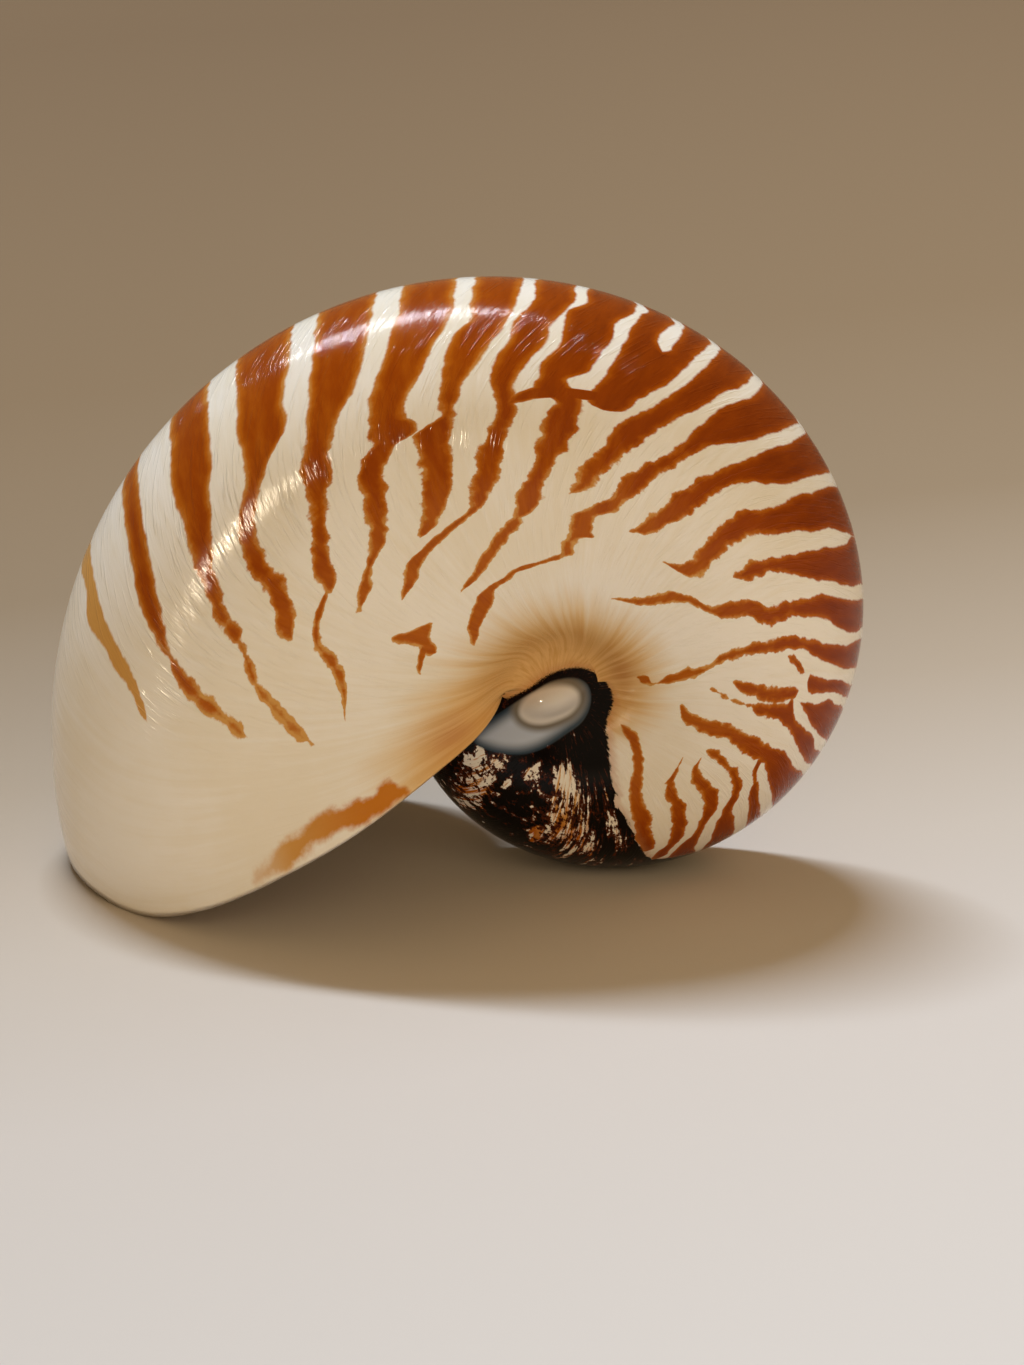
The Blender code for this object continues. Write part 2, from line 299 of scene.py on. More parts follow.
def place_of_radius(radius):
    """Share of the section's length at which it has the given radius."""
    shares = np.linspace(0.0, 1.0, LOOKUP_STEPS)
    return np.interp(-radius, -by_length(SECTION, shares)[:, 0], shares)


def place_of_height(height):
    """Share of the section's length at which its umbilical side has the given half-width."""
    shares = np.linspace(0.5, 1.0, LOOKUP_STEPS)
    heights = by_length(SECTION, shares)[:, 1]
    peak = int(np.argmax(heights))
    return np.interp(-height, -heights[peak:], shares[peak:])


def lip_advance(share):
    """Degrees by which a growth line runs ahead: a smooth cubic through the named places.

    Between two places it is the cubic with their values and slopes, level at both ends.
    """
    places, values = np.array(LIP_PLACES), np.array(LIP_ADVANCE)
    slopes = np.gradient(values, places)
    slopes[[0, -1]] = 0.0
    before = np.clip(np.searchsorted(places, share, side="right") - 1, 0, len(places) - 2)
    span = places[before + 1] - places[before]
    part = (share - places[before]) / span
    rise = smooth_step(part)
    start = part * (1.0 - part) ** 2 * span
    end = part ** 2 * (1.0 - part) * span
    return (values[before] * (1.0 - rise) + values[before + 1] * rise
            + slopes[before] * start - slopes[before + 1] * end)


def on_shell(radius, half_width, degrees):
    """Points from radius, distance to the plane of symmetry and angle past the mouth."""
    angle = np.radians(MOUTH_ANGLE + np.asarray(degrees))
    return np.stack([radius * np.cos(angle), half_width + 0.0 * angle, radius * np.sin(angle)], axis=-1)


def wall_at(degrees):
    """Thickness of the wall: it tapers with the shell, down to a least value."""
    return WALL_DEEP + (WALL_AT_LIP - WALL_DEEP) * scale_at(degrees)


def inner_curve(degrees):
    """The wall's inner face in the section at an angle, ending on the whorl before it."""
    scale = float(scale_at(degrees))
    outer = by_length(SECTION, np.linspace(0.0, 1.0, CURVE_STEPS)) * scale
    along = np.gradient(outer, axis=0)
    along /= np.hypot(along[:, 0], along[:, 1])[:, None]
    inward = np.stack([-along[:, 1], along[:, 0]], axis=-1)
    inner = outer + inward * wall_at(degrees)
    inner[0, 1] = 0.0
    before = outer / TURN_GROWTH
    floor = np.interp(inner[:, 0], before[::-1, 0], before[::-1, 1])
    landed = (inner[:, 0] < before[0, 0]) & (inner[:, 1] < floor)
    last = int(np.argmax(landed))
    return np.vstack([inner[:last], [(inner[last, 0], floor[last])]])


even_rows = np.arange(FLANK_ROWS + 1) / FLANK_ROWS
FLANK_SHARES = (1.0 - ROW_CROWDING) * even_rows + ROW_CROWDING * np.sin(even_rows * np.pi / 2.0)
FLOOR_ROWS = FLANK_ROWS - LIP_ROWS
foot_before = float(place_of_radius(FOOT_RADIUS * TURN_GROWTH))
inner_before = float(place_of_radius(inner_curve(0.0)[-1, 0] * TURN_GROWTH))

# The callus
# Smooth, pearly shell that plugs the umbilicus on each side: an oval pad that spreads over
# the flank in front of the mouth, and a smaller oval boss on it. The wall's own grid rises
# into both.
PAD_CENTRE = (-0.0058, -0.0068)
PAD_SIZE = (0.0118, 0.0064)
PAD_TOP = 0.0140
PAD_EDGE = 0.0116
BOSS_CENTRE = (-0.0026, -0.0033)
BOSS_SIZE = (0.0072, 0.0038)
BOSS_TOP = 0.0158
BOSS_EDGE = 0.0124
CALLUS_TILT = np.radians(25.0)
CALLUS_BLEND = 0.0006
CALLUS_REACH = -200.0
CAP_RINGS = 14
FILLET_FROM = 0.80
FILLET_START = -350.0
FILLET_FADE = 14.0
FILLET_PASSES = 40


def with_callus(points):
    """Points raised to the callus where it lies over them: a soft maximum of the heights.

    Each oval is a dome that falls from its top with the square of the distance, as a share
    of its half-length and half-width, and reaches its edge height at 1.
    """
    height = np.abs(points[..., 1])
    for centre, size, top, edge in ((PAD_CENTRE, PAD_SIZE, PAD_TOP, PAD_EDGE),
                                    (BOSS_CENTRE, BOSS_SIZE, BOSS_TOP, BOSS_EDGE)):
        dx, dz = points[..., 0] - centre[0], points[..., 2] - centre[1]
        along = (dx * np.cos(CALLUS_TILT) + dz * np.sin(CALLUS_TILT)) / size[0]
        across = (dz * np.cos(CALLUS_TILT) - dx * np.sin(CALLUS_TILT)) / size[1]
        dome = top - (top - edge) * (along ** 2 + across ** 2)
        height = (height + dome + np.hypot(height - dome, CALLUS_BLEND)) / 2.0
    raised = points.copy()
    raised[..., 1] = np.sign(points[..., 1]) * height
    return raised


# The last whorl's outer face
# A grid of angle by row, from the far foot over the outer curve to the near foot. Its
# first columns open onto the floor of the body chamber and the mouth's landing.
turn_degrees = np.linspace(-360.0, 0.0, TURN_STEPS + 1)
turn_last = place_of_height(FOOT_HEIGHT / scale_at(turn_degrees))
turn_last[0] = foot_before
start_rows = np.concatenate([np.linspace(0.0, inner_before, FLOOR_ROWS + 1),
                             np.linspace(inner_before, foot_before, LIP_ROWS + 1)[1:]]) / foot_before
early = (1.0 - smooth_step((turn_degrees + 360.0) / START_BLEND))[:, None]
half_share = turn_last[:, None] * ((1.0 - early) * FLANK_SHARES + early * start_rows)
ahead = lip_advance(FLANK_SHARES) * smooth_step(1.0 + turn_degrees / LIP_LENGTH)[:, None]
half_degrees = turn_degrees[:, None] + ahead
half_section = by_length(SECTION, half_share) * scale_at(half_degrees)[..., None]
half_points = on_shell(half_section[..., 0], half_section[..., 1], half_degrees)

# The wall rounds off into the floor of the umbilicus: rings from the foot to the middle
# carry the grid on, and each point near the foot moves towards its neighbours' middle.
cap_steps = (np.arange(1, CAP_RINGS) / CAP_RINGS)[None, :, None]
cap_middle = np.array((BOSS_CENTRE[0], FOOT_HEIGHT, BOSS_CENTRE[1]))
cap_floor = half_points[:, -1] * (1.0, 0.0, 1.0) + (0.0, FOOT_HEIGHT, 0.0)
cap_points = cap_floor[:, None] + (cap_middle - cap_floor)[:, None] * cap_steps
profile = np.concatenate([half_points, cap_points], axis=1)
fillet = np.concatenate([smooth_step((FLANK_SHARES - FILLET_FROM) / (1.0 - FILLET_FROM)),
                         1.0 - smooth_step(np.arange(1, CAP_RINGS) / (CAP_RINGS - 1.0))])
fillet = fillet * (smooth_step((turn_degrees - FILLET_START) / FILLET_FADE)
                   * smooth_step(-turn_degrees / FILLET_FADE))[:, None]
for step in range(FILLET_PASSES):
    middles = (profile[:, 2:] + profile[:, :-2]) / 2.0
    profile[:, 1:-1] += (middles - profile[:, 1:-1]) * fillet[:, 1:-1, None]
half_points, cap_points = profile[:, :FLANK_ROWS + 1], with_callus(profile[:-1, FLANK_ROWS + 1:])
under_callus = turn_degrees < CALLUS_REACH
half_points[under_callus, 1:] = with_callus(half_points[under_callus, 1:])


def both_sides(half, mirror=1.0):
    """A half grid and its mirror image as one: far foot, outer curve, near foot."""
    return np.concatenate([half[:, :0:-1], half * mirror], axis=1)


outer_points = both_sides(half_points, NEAR_SIDE)
outer_degrees = both_sides(half_degrees)
outer_share = both_sides(half_share)

# The body chamber
# The open room in which the animal lived: the wall's inner face of nacre, the whorl before
# as its floor, and the last septum, dished, with the siphuncle's hole.
CHAMBER_ANGLE = 130.0
CHAMBER_STEPS = 84
SEPTUM_SAG = 13.0
SEPTUM_CENTRE = 0.66
SEPTUM_RINGS = 9
SIPHUNCLE_RADIUS = 0.0016
SIPHUNCLE_DEPTH = 2.5


def chamber_loop(degrees):
    """Closed loop around the chamber: the wall's inner face, then the whorl before it."""
    advance = lip_advance(FLANK_SHARES) * smooth_step(1.0 + degrees / LIP_LENGTH)
    curve = inner_curve(degrees)
    radius, width = by_length(curve, FLANK_SHARES).T
    growth = scale_at(advance)
    half = on_shell(radius * growth, width * growth, degrees + advance)
    before = float(place_of_radius(curve[-1, 0] / scale_at(degrees - 360.0)))
    radius, width = by_length(SECTION, np.linspace(0.0, before, FLOOR_ROWS + 1)).T
    size = scale_at(degrees - 360.0)
    floor = on_shell(radius * size, width * size, degrees)
    return np.vstack([half[::-1], half[1:] * NEAR_SIDE, (floor * NEAR_SIDE)[-2::-1], floor[1:-1]])


def septum_ring(loop, degrees, share, hole_radius):
    """Ring of the dished septum, share 0 at the wall and 1 at the siphuncle's hole."""
    flat = np.stack([np.hypot(loop[:, 0], loop[:, 2]), loop[:, 1]], axis=-1)
    centre = np.array([SEPTUM_CENTRE * WHORL_RADIUS * float(scale_at(degrees)), 0.0])
    spoke = flat - centre
    spoke /= np.hypot(spoke[:, 0], spoke[:, 1])[:, None]
    ring = flat + (centre + spoke * hole_radius - flat) * share
    sag = SEPTUM_SAG * np.sin(share * np.pi / 2.0)
    twist = np.degrees(np.arctan2(loop[:, 2], loop[:, 0])) - MOUTH_ANGLE
    return on_shell(ring[:, 0], ring[:, 1], twist - sag)


chamber_degrees = np.linspace(0.0, -CHAMBER_ANGLE, CHAMBER_STEPS + 1)
chamber_points = np.stack([chamber_loop(angle) for angle in chamber_degrees])
septum_shares = np.linspace(0.0, 1.0, SEPTUM_RINGS + 1)[1:]
septum_points = np.stack([septum_ring(chamber_points[-1], -CHAMBER_ANGLE, share, SIPHUNCLE_RADIUS)
                          for share in septum_shares])
hole_turn = np.radians(SIPHUNCLE_DEPTH)
hole_bottom = septum_points[-1] @ np.array([(np.cos(hole_turn), 0.0, -np.sin(hole_turn)),
                                            (0.0, 1.0, 0.0),
                                            (np.sin(hole_turn), 0.0, np.cos(hole_turn))])

# The lip
# The wall's rounded edge at the mouth: a half circle of the wall's thickness from the outer
# face to the inner one. Its ends land on the whorl before.
lip_rows = 2 * FLANK_ROWS + 1
lip_outer = outer_points[-1]
lip_inner = chamber_points[0, :lip_rows]
lip_middle = (lip_outer + lip_inner) / 2.0
lip_away = np.cross(lip_middle, (0.0, 1.0, 0.0))
lip_away /= -np.linalg.norm(lip_away, axis=1)[:, None]
lip_turn = np.linspace(0.0, np.pi, LIP_ROWS + 1)[1:, None, None]
lip_points = (lip_middle + (lip_outer - lip_inner) / 2.0 * np.cos(lip_turn)
              + lip_away * WALL_AT_LIP / 2.0 * np.sin(lip_turn))

# Joining the surfaces
# All of them share the vertices of their seams, so the shell is one closed skin.
columns, rows = outer_points.shape[:2]
outer_index = np.arange(columns * rows).reshape(columns, rows)
outer_index[-1, 0], outer_index[-1, -1] = outer_index[0, 0], outer_index[0, -1]
all_points = [outer_points.reshape(-1, 3)]
all_degrees = [outer_degrees.ravel()]
all_shares = [outer_share.ravel()]


def add_points(points, degrees, shares):
    """Adds a grid of points with their place in the growth, and returns their indices."""
    shape = points.shape[:-1]
    index = sum(map(len, all_points)) + np.arange(int(np.prod(shape))).reshape(shape)
    all_points.append(points.reshape(-1, 3))
    all_degrees.append(np.broadcast_to(degrees, shape).ravel())
    all_shares.append(np.broadcast_to(shares, shape).ravel())
    return index


def quads(index):
    """Faces between neighbouring rows and columns of a grid of vertex indices."""
    corners = (index[:-1, :-1], index[:-1, 1:], index[1:, 1:], index[1:, :-1])
    return np.stack(corners, axis=-1).reshape(-1, 4)


def closed(index):
    """A grid whose columns run round a loop, with its first column repeated at the end."""
    return np.concatenate([index, index[:, :1]], axis=1)


def fan(ring, tip):
    """Triangles from a closed ring to one point."""
    return np.stack([ring, np.roll(ring, -1), np.full_like(ring, tip)], axis=-1)


wall_quads = [quads(outer_index)]
wall_fans = []
for side, mirror in ((0, 1.0), (rows - 1, NEAR_SIDE)):
    cap_rings = np.swapaxes(cap_points, 0, 1) * mirror
    ring_shares = 1.0 + np.swapaxes(cap_steps, 0, 1)[:, :, 0]
    cap_index = add_points(cap_rings, outer_degrees[:-1, side], ring_shares)
    cap_tip = add_points((with_callus(cap_middle) * mirror)[None], 0.0, 2.0)
    cap_grid = closed(np.vstack([outer_index[:-1, side], cap_index]))
    wall_quads.append(quads(cap_grid))
    wall_fans.append(fan(cap_index[-1], cap_tip[0]))

lip_index = add_points(lip_points, outer_degrees[-1], outer_share[-1])
before_index = outer_index[0]
lip_index[:, 0] = before_index[1:LIP_ROWS + 1]
lip_index[:, -1] = before_index[-2:-LIP_ROWS - 2:-1]
wall_quads.append(quads(np.vstack([outer_index[-1:], lip_index])))

chamber_shares = np.concatenate([FLANK_SHARES[::-1], FLANK_SHARES[1:],
                                 np.full(chamber_points.shape[1] - lip_rows, 1.0)])
first_loop = np.concatenate([lip_index[-1], before_index[LIP_ROWS + 1:-LIP_ROWS - 1][::-1]])
chamber_index = add_points(chamber_points[1:], chamber_degrees[1:, None], chamber_shares)
septum_index = add_points(septum_points, -CHAMBER_ANGLE, chamber_shares)
hole_index = add_points(hole_bottom[None], -CHAMBER_ANGLE, chamber_shares)
hole_tip = add_points(hole_bottom.mean(axis=0)[None], -CHAMBER_ANGLE, 1.0)
nacre_grid = closed(np.vstack([first_loop, chamber_index, septum_index, hole_index]))
nacre_quads = quads(nacre_grid)
nacre_fan = fan(hole_index[0], hole_tip[0])

points = np.concatenate(all_points)
degrees = np.concatenate(all_degrees)
shares = np.concatenate(all_shares)
wall_faces = np.concatenate(wall_quads)
wall_tips = np.concatenate(wall_fans)

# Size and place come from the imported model: its box, on the table.
low, high = (np.array(corner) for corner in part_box("shell"))
span = points.max(axis=0) - points.min(axis=0)
fit = float(((high - low) / span).min())
shift = np.array([(low[0] + high[0]) / 2.0 - fit * (points[:, 0].min() + points[:, 0].max()) / 2.0, 0.0,
                  low[2] - fit * points[:, 2].min()])
placed = points * fit + shift

faces = wall_faces.tolist() + wall_tips.tolist() + nacre_quads.tolist() + nacre_fan.tolist()
nacre_from = len(wall_faces) + len(wall_tips)
shell_mesh = bpy.data.meshes.new("nautilus_shell")
shell_mesh.from_pydata(placed.tolist(), [], faces)
skin = bmesh.new()
skin.from_mesh(shell_mesh)
bmesh.ops.recalc_face_normals(skin, faces=skin.faces)
skin.to_mesh(shell_mesh)
skin.free()
shell_mesh.polygons.foreach_set("material_index",
                                (np.arange(len(faces)) >= nacre_from).astype(np.int32))
shell_mesh.polygons.foreach_set("use_smooth", np.ones(len(faces), bool))


def set_value(name, values):
    """A value for each point of the shell, which its material reads by this name."""
    layer = shell_mesh.attributes.new(name, "FLOAT", "POINT")
    layer.data.foreach_set("value", np.ascontiguousarray(values, dtype=np.float32))


# The stripes
# Rust-brown pigment that the animal laid down in the outer layer, in stripes that run from
# the outer curve down the flanks and end in ragged tips and thin tails. Each is a list of
# (share of the half section, front edge, back edge), with the edges in degrees of growth.
STRIPES = (
    ((0, -27.5, -24.1), (.1, -25.7, -23.4), (.15, -23.9, -20.2), (.2, -21.8, -19.2),
     (.25, -19.4, -16.8), (.3, -16, -14.2), (.335, -11, -11)),
    ((0, -39.1, -35.7), (.1, -37.5, -33.9), (.15, -36, -32.3), (.2, -33.9, -29.9),
     (.25, -31, -26.5), (.3, -26.8, -23.1), (.35, -21.8, -19.9), (.4, -18.4, -15.5),
     (.45, -15.5, -12.6), (.5, -10, -10)),
    ((0, -51.7, -44.9), (.1, -50.7, -43.9), (.15, -49.4, -42), (.2, -47.8, -40.2),
     (.25, -44.6, -38.6), (.3, -40.7, -35.7), (.35, -35.7, -32.6), (.4, -31.5, -28.6),
     (.45, -27.6, -25.2), (.475, -24.4, -22), (.5, -20.5, -18.4), (.55, -15.7, -12.6),
     (.575, -12.8, -8.9), (.607, -7.6, -7.6)),
    ((0, -64.6, -56), (.1, -63.6, -55.2), (.15, -62.2, -54.1), (.2, -60.2, -52.3),
     (.25, -58.6, -51), (.29, -53, -48.5), (.32, -49.5, -45), (.35, -46, -42),
     (.4, -42.5, -38.6), (.45, -40.4, -36.2), (.5, -36.2, -30.4), (.52, -31.5, -29.5)),
    ((0, -76.3, -68), (.1, -75.2, -67.1), (.15, -74, -65.9), (.2, -72.4, -64.1),
     (.25, -69.4, -62.3), (.3, -64.6, -59.2), (.35, -61.3, -55.6), (.4, -57.5, -53.3),
     (.45, -52.5, -49.1), (.475, -50.4, -46.2), (.5, -47.8, -43.3), (.52, -46.2, -42.3),
     (.53, -44, -42)),
    ((0, -87.2, -79.8), (.1, -86.7, -78.9), (.15, -85.4, -77.3), (.2, -83, -75.7),
     (.25, -80.3, -72.9), (.3, -76.8, -70.3), (.33, -75.5, -69.4), (.345, -77, -69),
     (.36, -77, -68.5), (.375, -73, -66), (.4, -69.2, -63.4), (.45, -65.9, -61.1),
     (.5, -62.2, -57.6), (.53, -58.8, -54.5), (.545, -54.6, -50.4), (.56, -51.5, -47.5),
     (.58, -47.8, -43), (.588, -43.5, -42)),
    ((0, -96.4, -89.7), (.1, -95.5, -89), (.15, -94, -88.5), (.18, -93, -86),
     (.2, -91.8, -85.3), (.25, -89, -83.5), (.3, -85.8, -82.1), (.35, -83.5, -80.3),
     (.37, -82.4, -75.6), (.4, -81, -75), (.45, -80, -73.3), (.5, -76.8, -70.1),
     (.53, -73.1, -68.3), (.545, -71, -66), (.555, -65.5, -65.5)),
    ((0, -103.8, -98), (.05, -104.1, -98.1), (.1, -102.7, -97.4), (.15, -100.6, -95),
     (.2, -99.7, -94.1), (.25, -96.7, -91.4), (.3, -94.6, -90.7), (.35, -94.4, -90.5),
     (.4, -91.6, -87.4), (.45, -90, -84.7), (.5, -86.7, -81.6), (.535, -83, -80.5)),
    ((0, -113.3, -105.3), (.05, -112.6, -105.7), (.1, -110.5, -103), (.15, -110, -102.5),
     (.2, -108.6, -102), (.25, -106.4, -99), (.28, -103.7, -98.5), (.3, -105, -97.5),
     (.33, -106.5, -101.5), (.35, -106, -99.8), (.4, -104.5, -98), (.45, -101.3, -96.7),
     (.5, -98.3, -93), (.53, -97.8, -90.9), (.55, -95.1, -90.5), (.57, -91.5, -89)),
    ((0, -125.8, -114.9), (.1, -123.7, -112.6), (.15, -122.4, -112), (.2, -120.8, -110.9),
     (.25, -117.8, -109.4), (.28, -115.5, -108.1), (.3, -114.7, -107), (.315, -113, -107.5)),
    ((0, -134.3, -127.5), (.1, -132.2, -125.8), (.15, -129.8, -124.5), (.2, -128, -122.7),
     (.25, -125.3, -120.2), (.3, -122.1, -116.8), (.35, -118.9, -112.6), (.4, -115.8, -110.7),
     (.45, -112.1, -106.7), (.48, -110.4, -106), (.5, -107.5, -104), (.51, -105, -104)),
    ((0, -145.1, -136.2), (.1, -142.4, -134.6), (.15, -140.4, -132.2), (.2, -138.2, -130.1),
     (.25, -134.7, -128.3), (.3, -130.4, -126.6), (.35, -127.9, -124.5), (.4, -124.5, -120.5),
     (.45, -121.9, -116), (.48, -120, -115.5), (.5, -118.4, -114), (.525, -116, -110),
     (.54, -113, -107.2), (.555, -111.7, -105.1), (.58, -111.5, -105.1), (.59, -113, -105),
     (.6, -108, -104.5), (.62, -107, -102.4), (.64, -106, -102.4), (.65, -103, -102)),
    ((0, -155.5, -147), (.1, -152.3, -145), (.15, -150.5, -143), (.2, -148.8, -141),
     (.25, -145.1, -138.8), (.3, -140.8, -136.2), (.35, -138, -133.1), (.4, -135.9, -130.9),
     (.425, -135.4, -128.8), (.45, -134.3, -128.5), (.5, -130.6, -125.1), (.525, -128.7, -124),
     (.555, -121.3, -121.3)),
    ((0, -168, -158), (.1, -163.7, -154.9), (.15, -161, -153.4), (.2, -159.5, -151.3),
     (.25, -156.5, -149.9), (.3, -153.9, -147.7), (.35, -150.5, -144.1), (.4, -148.3, -142.4),
     (.45, -147.7, -142.1), (.5, -148, -142.4), (.55, -144.3, -139.2), (.566, -135.3, -135.3)),
    ((0, -177, -168), (.05, -175.7, -166.5), (.1, -174.6, -166.1), (.15, -172.8, -164.8),
     (.2, -170.1, -162.9), (.25, -167.7, -161.1), (.3, -164.5, -159.2), (.35, -160.6, -157),
     (.4, -158.7, -154.2), (.44, -156.8, -153.8), (.455, -154.5, -154.5)),
    ((0, -185.5, -180), (.05, -184.5, -178.5), (.1, -184, -177.4), (.15, -182.5, -175.6),
     (.2, -179.9, -173.3), (.25, -176.3, -170.9), (.3, -174.4, -169.9), (.35, -172, -167.7),
     (.4, -171.7, -167.1), (.43, -171, -164), (.45, -168, -161.5), (.47, -165.8, -161),
     (.5, -165, -159.7), (.55, -160, -156.2), (.565, -156, -152)),
    ((0, -193.5, -187.5), (.1, -191.7, -185.7), (.15, -190.4, -185.3), (.2, -188.5, -183.7),
     (.25, -186.2, -181.9), (.29, -184, -180), (.32, -181.5, -178.8), (.35, -180.7, -177.1),
     (.4, -179.7, -175.7), (.45, -178.6, -175.1), (.5, -178.4, -174.7), (.55, -178.8, -175.6),
     (.6, -181.7, -178.5), (.63, -183.3, -178), (.64, -183.5, -176.6), (.65, -183.7, -178.2),
     (.7, -184.8, -179.5), (.71, -185, -181), (.74, -185.6, -183.6), (.755, -185.3, -178),
     (.77, -184.5, -177), (.785, -181, -177.5)),
    ((0, -200.5, -197.5), (.1, -197.8, -194.9), (.15, -196, -192.9), (.2, -194.7, -191.7),
     (.25, -194.1, -190.2), (.28, -193.4, -188.8), (.292, -192.5, -188.5)),
    ((.325, -193, -191.2), (.35, -194.7, -190.9), (.4, -194.4, -190), (.45, -192.6, -188.1),
     (.5, -190, -186.1), (.515, -187.5, -186)),
    ((0, -212, -204), (.1, -208, -199.7), (.15, -206.7, -198.4), (.2, -204.2, -196.3),
     (.25, -201.3, -196.6), (.28, -198.4, -195.7), (.31, -195.4, -195.2)),
    ((0, -218, -214), (.12, -214.1, -210.3), (.15, -213.5, -209.6), (.2, -211.2, -205.8),
     (.25, -208.2, -203.2), (.3, -204.5, -200.3), (.325, -202.5, -196.8), (.34, -201.5, -193.5),
     (.35, -200.8, -195.2), (.4, -199.2, -195), (.45, -196.8, -194.7)),
    ((0, -231, -221), (.15, -225.8, -215.7), (.2, -223.4, -214.4), (.25, -220.5, -211.9),
     (.3, -216.8, -209.1), (.35, -213.2, -208.2), (.4, -212.8, -205.8), (.45, -210.6, -204.8),
     (.49, -208.5, -203), (.52, -208.3, -202.2), (.535, -209.5, -202), (.55, -208.9, -201.9),
     (.6, -207.2, -201.5), (.615, -206.5, -200.5), (.63, -205.5, -198.5), (.64, -203, -197.5),
     (.648, -199.5, -196.2)),
    ((0, -240, -234.5), (.17, -233, -228.8), (.2, -231.5, -227.2), (.25, -228.1, -224.5),
     (.3, -224.1, -220.1), (.31, -222.5, -219.3)),
    ((0, -252, -244), (.17, -245, -236.7), (.2, -242.6, -235.4), (.25, -239.7, -232.9),
     (.3, -234.9, -230.1), (.325, -231.5, -225.5), (.35, -226.5, -222), (.4, -221.4, -217.9),
     (.45, -218.5, -216), (.5, -217.1, -213.7), (.515, -216.5, -214)),
    ((.1, -258, -251), (.2, -254, -247), (.25, -249.8, -243.8), (.3, -242.7, -239.4),
     (.35, -237.8, -232), (.4, -233, -227.2), (.45, -230.5, -225.6), (.5, -227.8, -223.3),
     (.512, -225, -221.5)),
    ((.2, -259, -256.7), (.25, -256.3, -252.2), (.3, -251, -246.6), (.35, -248, -242.6),
     (.4, -244.8, -239.4), (.45, -242.2, -236.8), (.5, -240, -235.5), (.52, -237.5, -233.5)),
    ((.28, -260, -257), (.3, -259.5, -255.4), (.35, -259.5, -253.6), (.4, -258.3, -252.2),
     (.45, -256.5, -249.5), (.5, -255.1, -249.3), (.55, -252.5, -245.8), (.6, -247, -240.3),
     (.65, -240.6, -233.3), (.7, -234.6, -227.2), (.72, -233, -224), (.75, -230.4, -224.3),
     (.775, -228, -225.5)),
    ((.668, -41, -38.5), (.68, -44, -39), (.69, -47.5, -39.2), (.698, -50, -39.5),
     (.708, -47, -39.5), (.72, -44.5, -39.2), (.735, -43, -38)),
)

# Thin tails and links, along the spiral: (degrees, share, thickness as a share)
TAILS = (
    ((-43, .525, .008), (-38, .535, .01), (-32, .555, .014), (-30, .575, .03), (-27, .605, .03),
     (-24, .62, .018), (-20, .637, .01), (-12.8, .648, .002)),
    ((-83, .53, .014), (-77, .55, .014), (-73.5, .56, .014), (-65, .58, .016), (-61, .59, .022),
     (-58.5, .6, .034), (-55.5, .612, .022), (-50, .632, .002)),
    ((-110, .295, .02), (-98, .31, .025), (-93, .332, .02), (-91.5, .34, .01)),
    ((-92, .567, .02), (-89, .58, .03), (-85.5, .6, .03), (-82, .62, .028), (-78, .64, .025),
     (-74, .657, .022), (-70, .672, .018), (-64.5, .683, .002)),
    ((-103, .645, .012), (-94.4, .667, .01), (-85.3, .677, .01), (-80.3, .694, .012),
     (-75, .702, .012), (-73, .71, .026), (-70, .72, .036), (-66, .733, .04), (-62, .745, .03),
     (-55, .77, .026), (-50.5, .79, .002)),
    ((-156, .562, .016), (-153, .57, .02), (-150, .585, .025), (-147, .61, .045),
     (-144, .628, .05), (-142, .645, .045), (-139, .665, .03), (-135.5, .683, .02),
     (-126, .71, .002)),
    ((-187.7, .317, .012), (-185.3, .333, .022), (-183.3, .35, .022), (-181.5, .36, .02)),
    ((-195.6, .45, .03), (-194.4, .49, .02), (-192.6, .53, .02), (-190.4, .55, .02),
     (-188.8, .575, .004)),
    ((-222, .3, .02), (-220.3, .312, .02), (-218.5, .332, .018), (-217, .346, .016),
     (-212.5, .356, .016)),
    ((-224, .508, .016), (-221.5, .513, .01), (-219.2, .517, .002)),
    ((-237, .52, .022), (-232, .535, .016), (-228, .548, .01), (-222, .563, .002)),
    ((-42, .718, .012), (-36, .727, .012), (-30.5, .737, .004)),
)

# Pale gaps inside a stripe, written as the stripes are
GAPS = (
    ((0, -120.8, -119.4), (.05, -120.5, -118.4), (.1, -119.7, -117.3), (.135, -118.2, -118.2)),
)
# The ochre patch at the lip
LIP_PATCH = ((.49, 14.8, 16), (.5, 13.8, 16.2), (.57, 10, 15), (.6, 8.5, 13.4), (.63, 8, 13.6),
             (.68, 8.5, 14.5), (.715, 6, 14), (.73, 9, 13.5), (.74, 11, 13))

CURVE_FROM = -360.0
CURVE_SPAN = 400.0
END_LENGTH = 0.012
END_OVERLAP = 2.5
TAIL_ROWS = 14


def closed_mark(mark):
    """A mark whose edges cross just past its two ends, so that it doesn't run on.

    A mark that starts at the outer curve isn't closed there.
    """
    rows = [tuple(float(part) for part in row) for row in mark]
    start, end = [(share + step, (front + back) / 2.0 + END_OVERLAP, (front + back) / 2.0 - END_OVERLAP)
                  for (share, front, back), step in ((rows[0], -END_LENGTH), (rows[-1], END_LENGTH))]
    return ([start] if rows[0][0] > 0.0 else []) + rows + [end]


def tail_mark(tail):
    """A tail as a mark: at each share, where its lower and its upper side cross that share."""
    angle, share, thickness = np.array(tail, float).T
    lower, upper = share + thickness / 2.0, share - thickness / 2.0
    steps = np.linspace(upper[0], lower[-1], TAIL_ROWS)
    return list(zip(steps, np.interp(steps, lower, angle), np.interp(steps, upper, angle)))


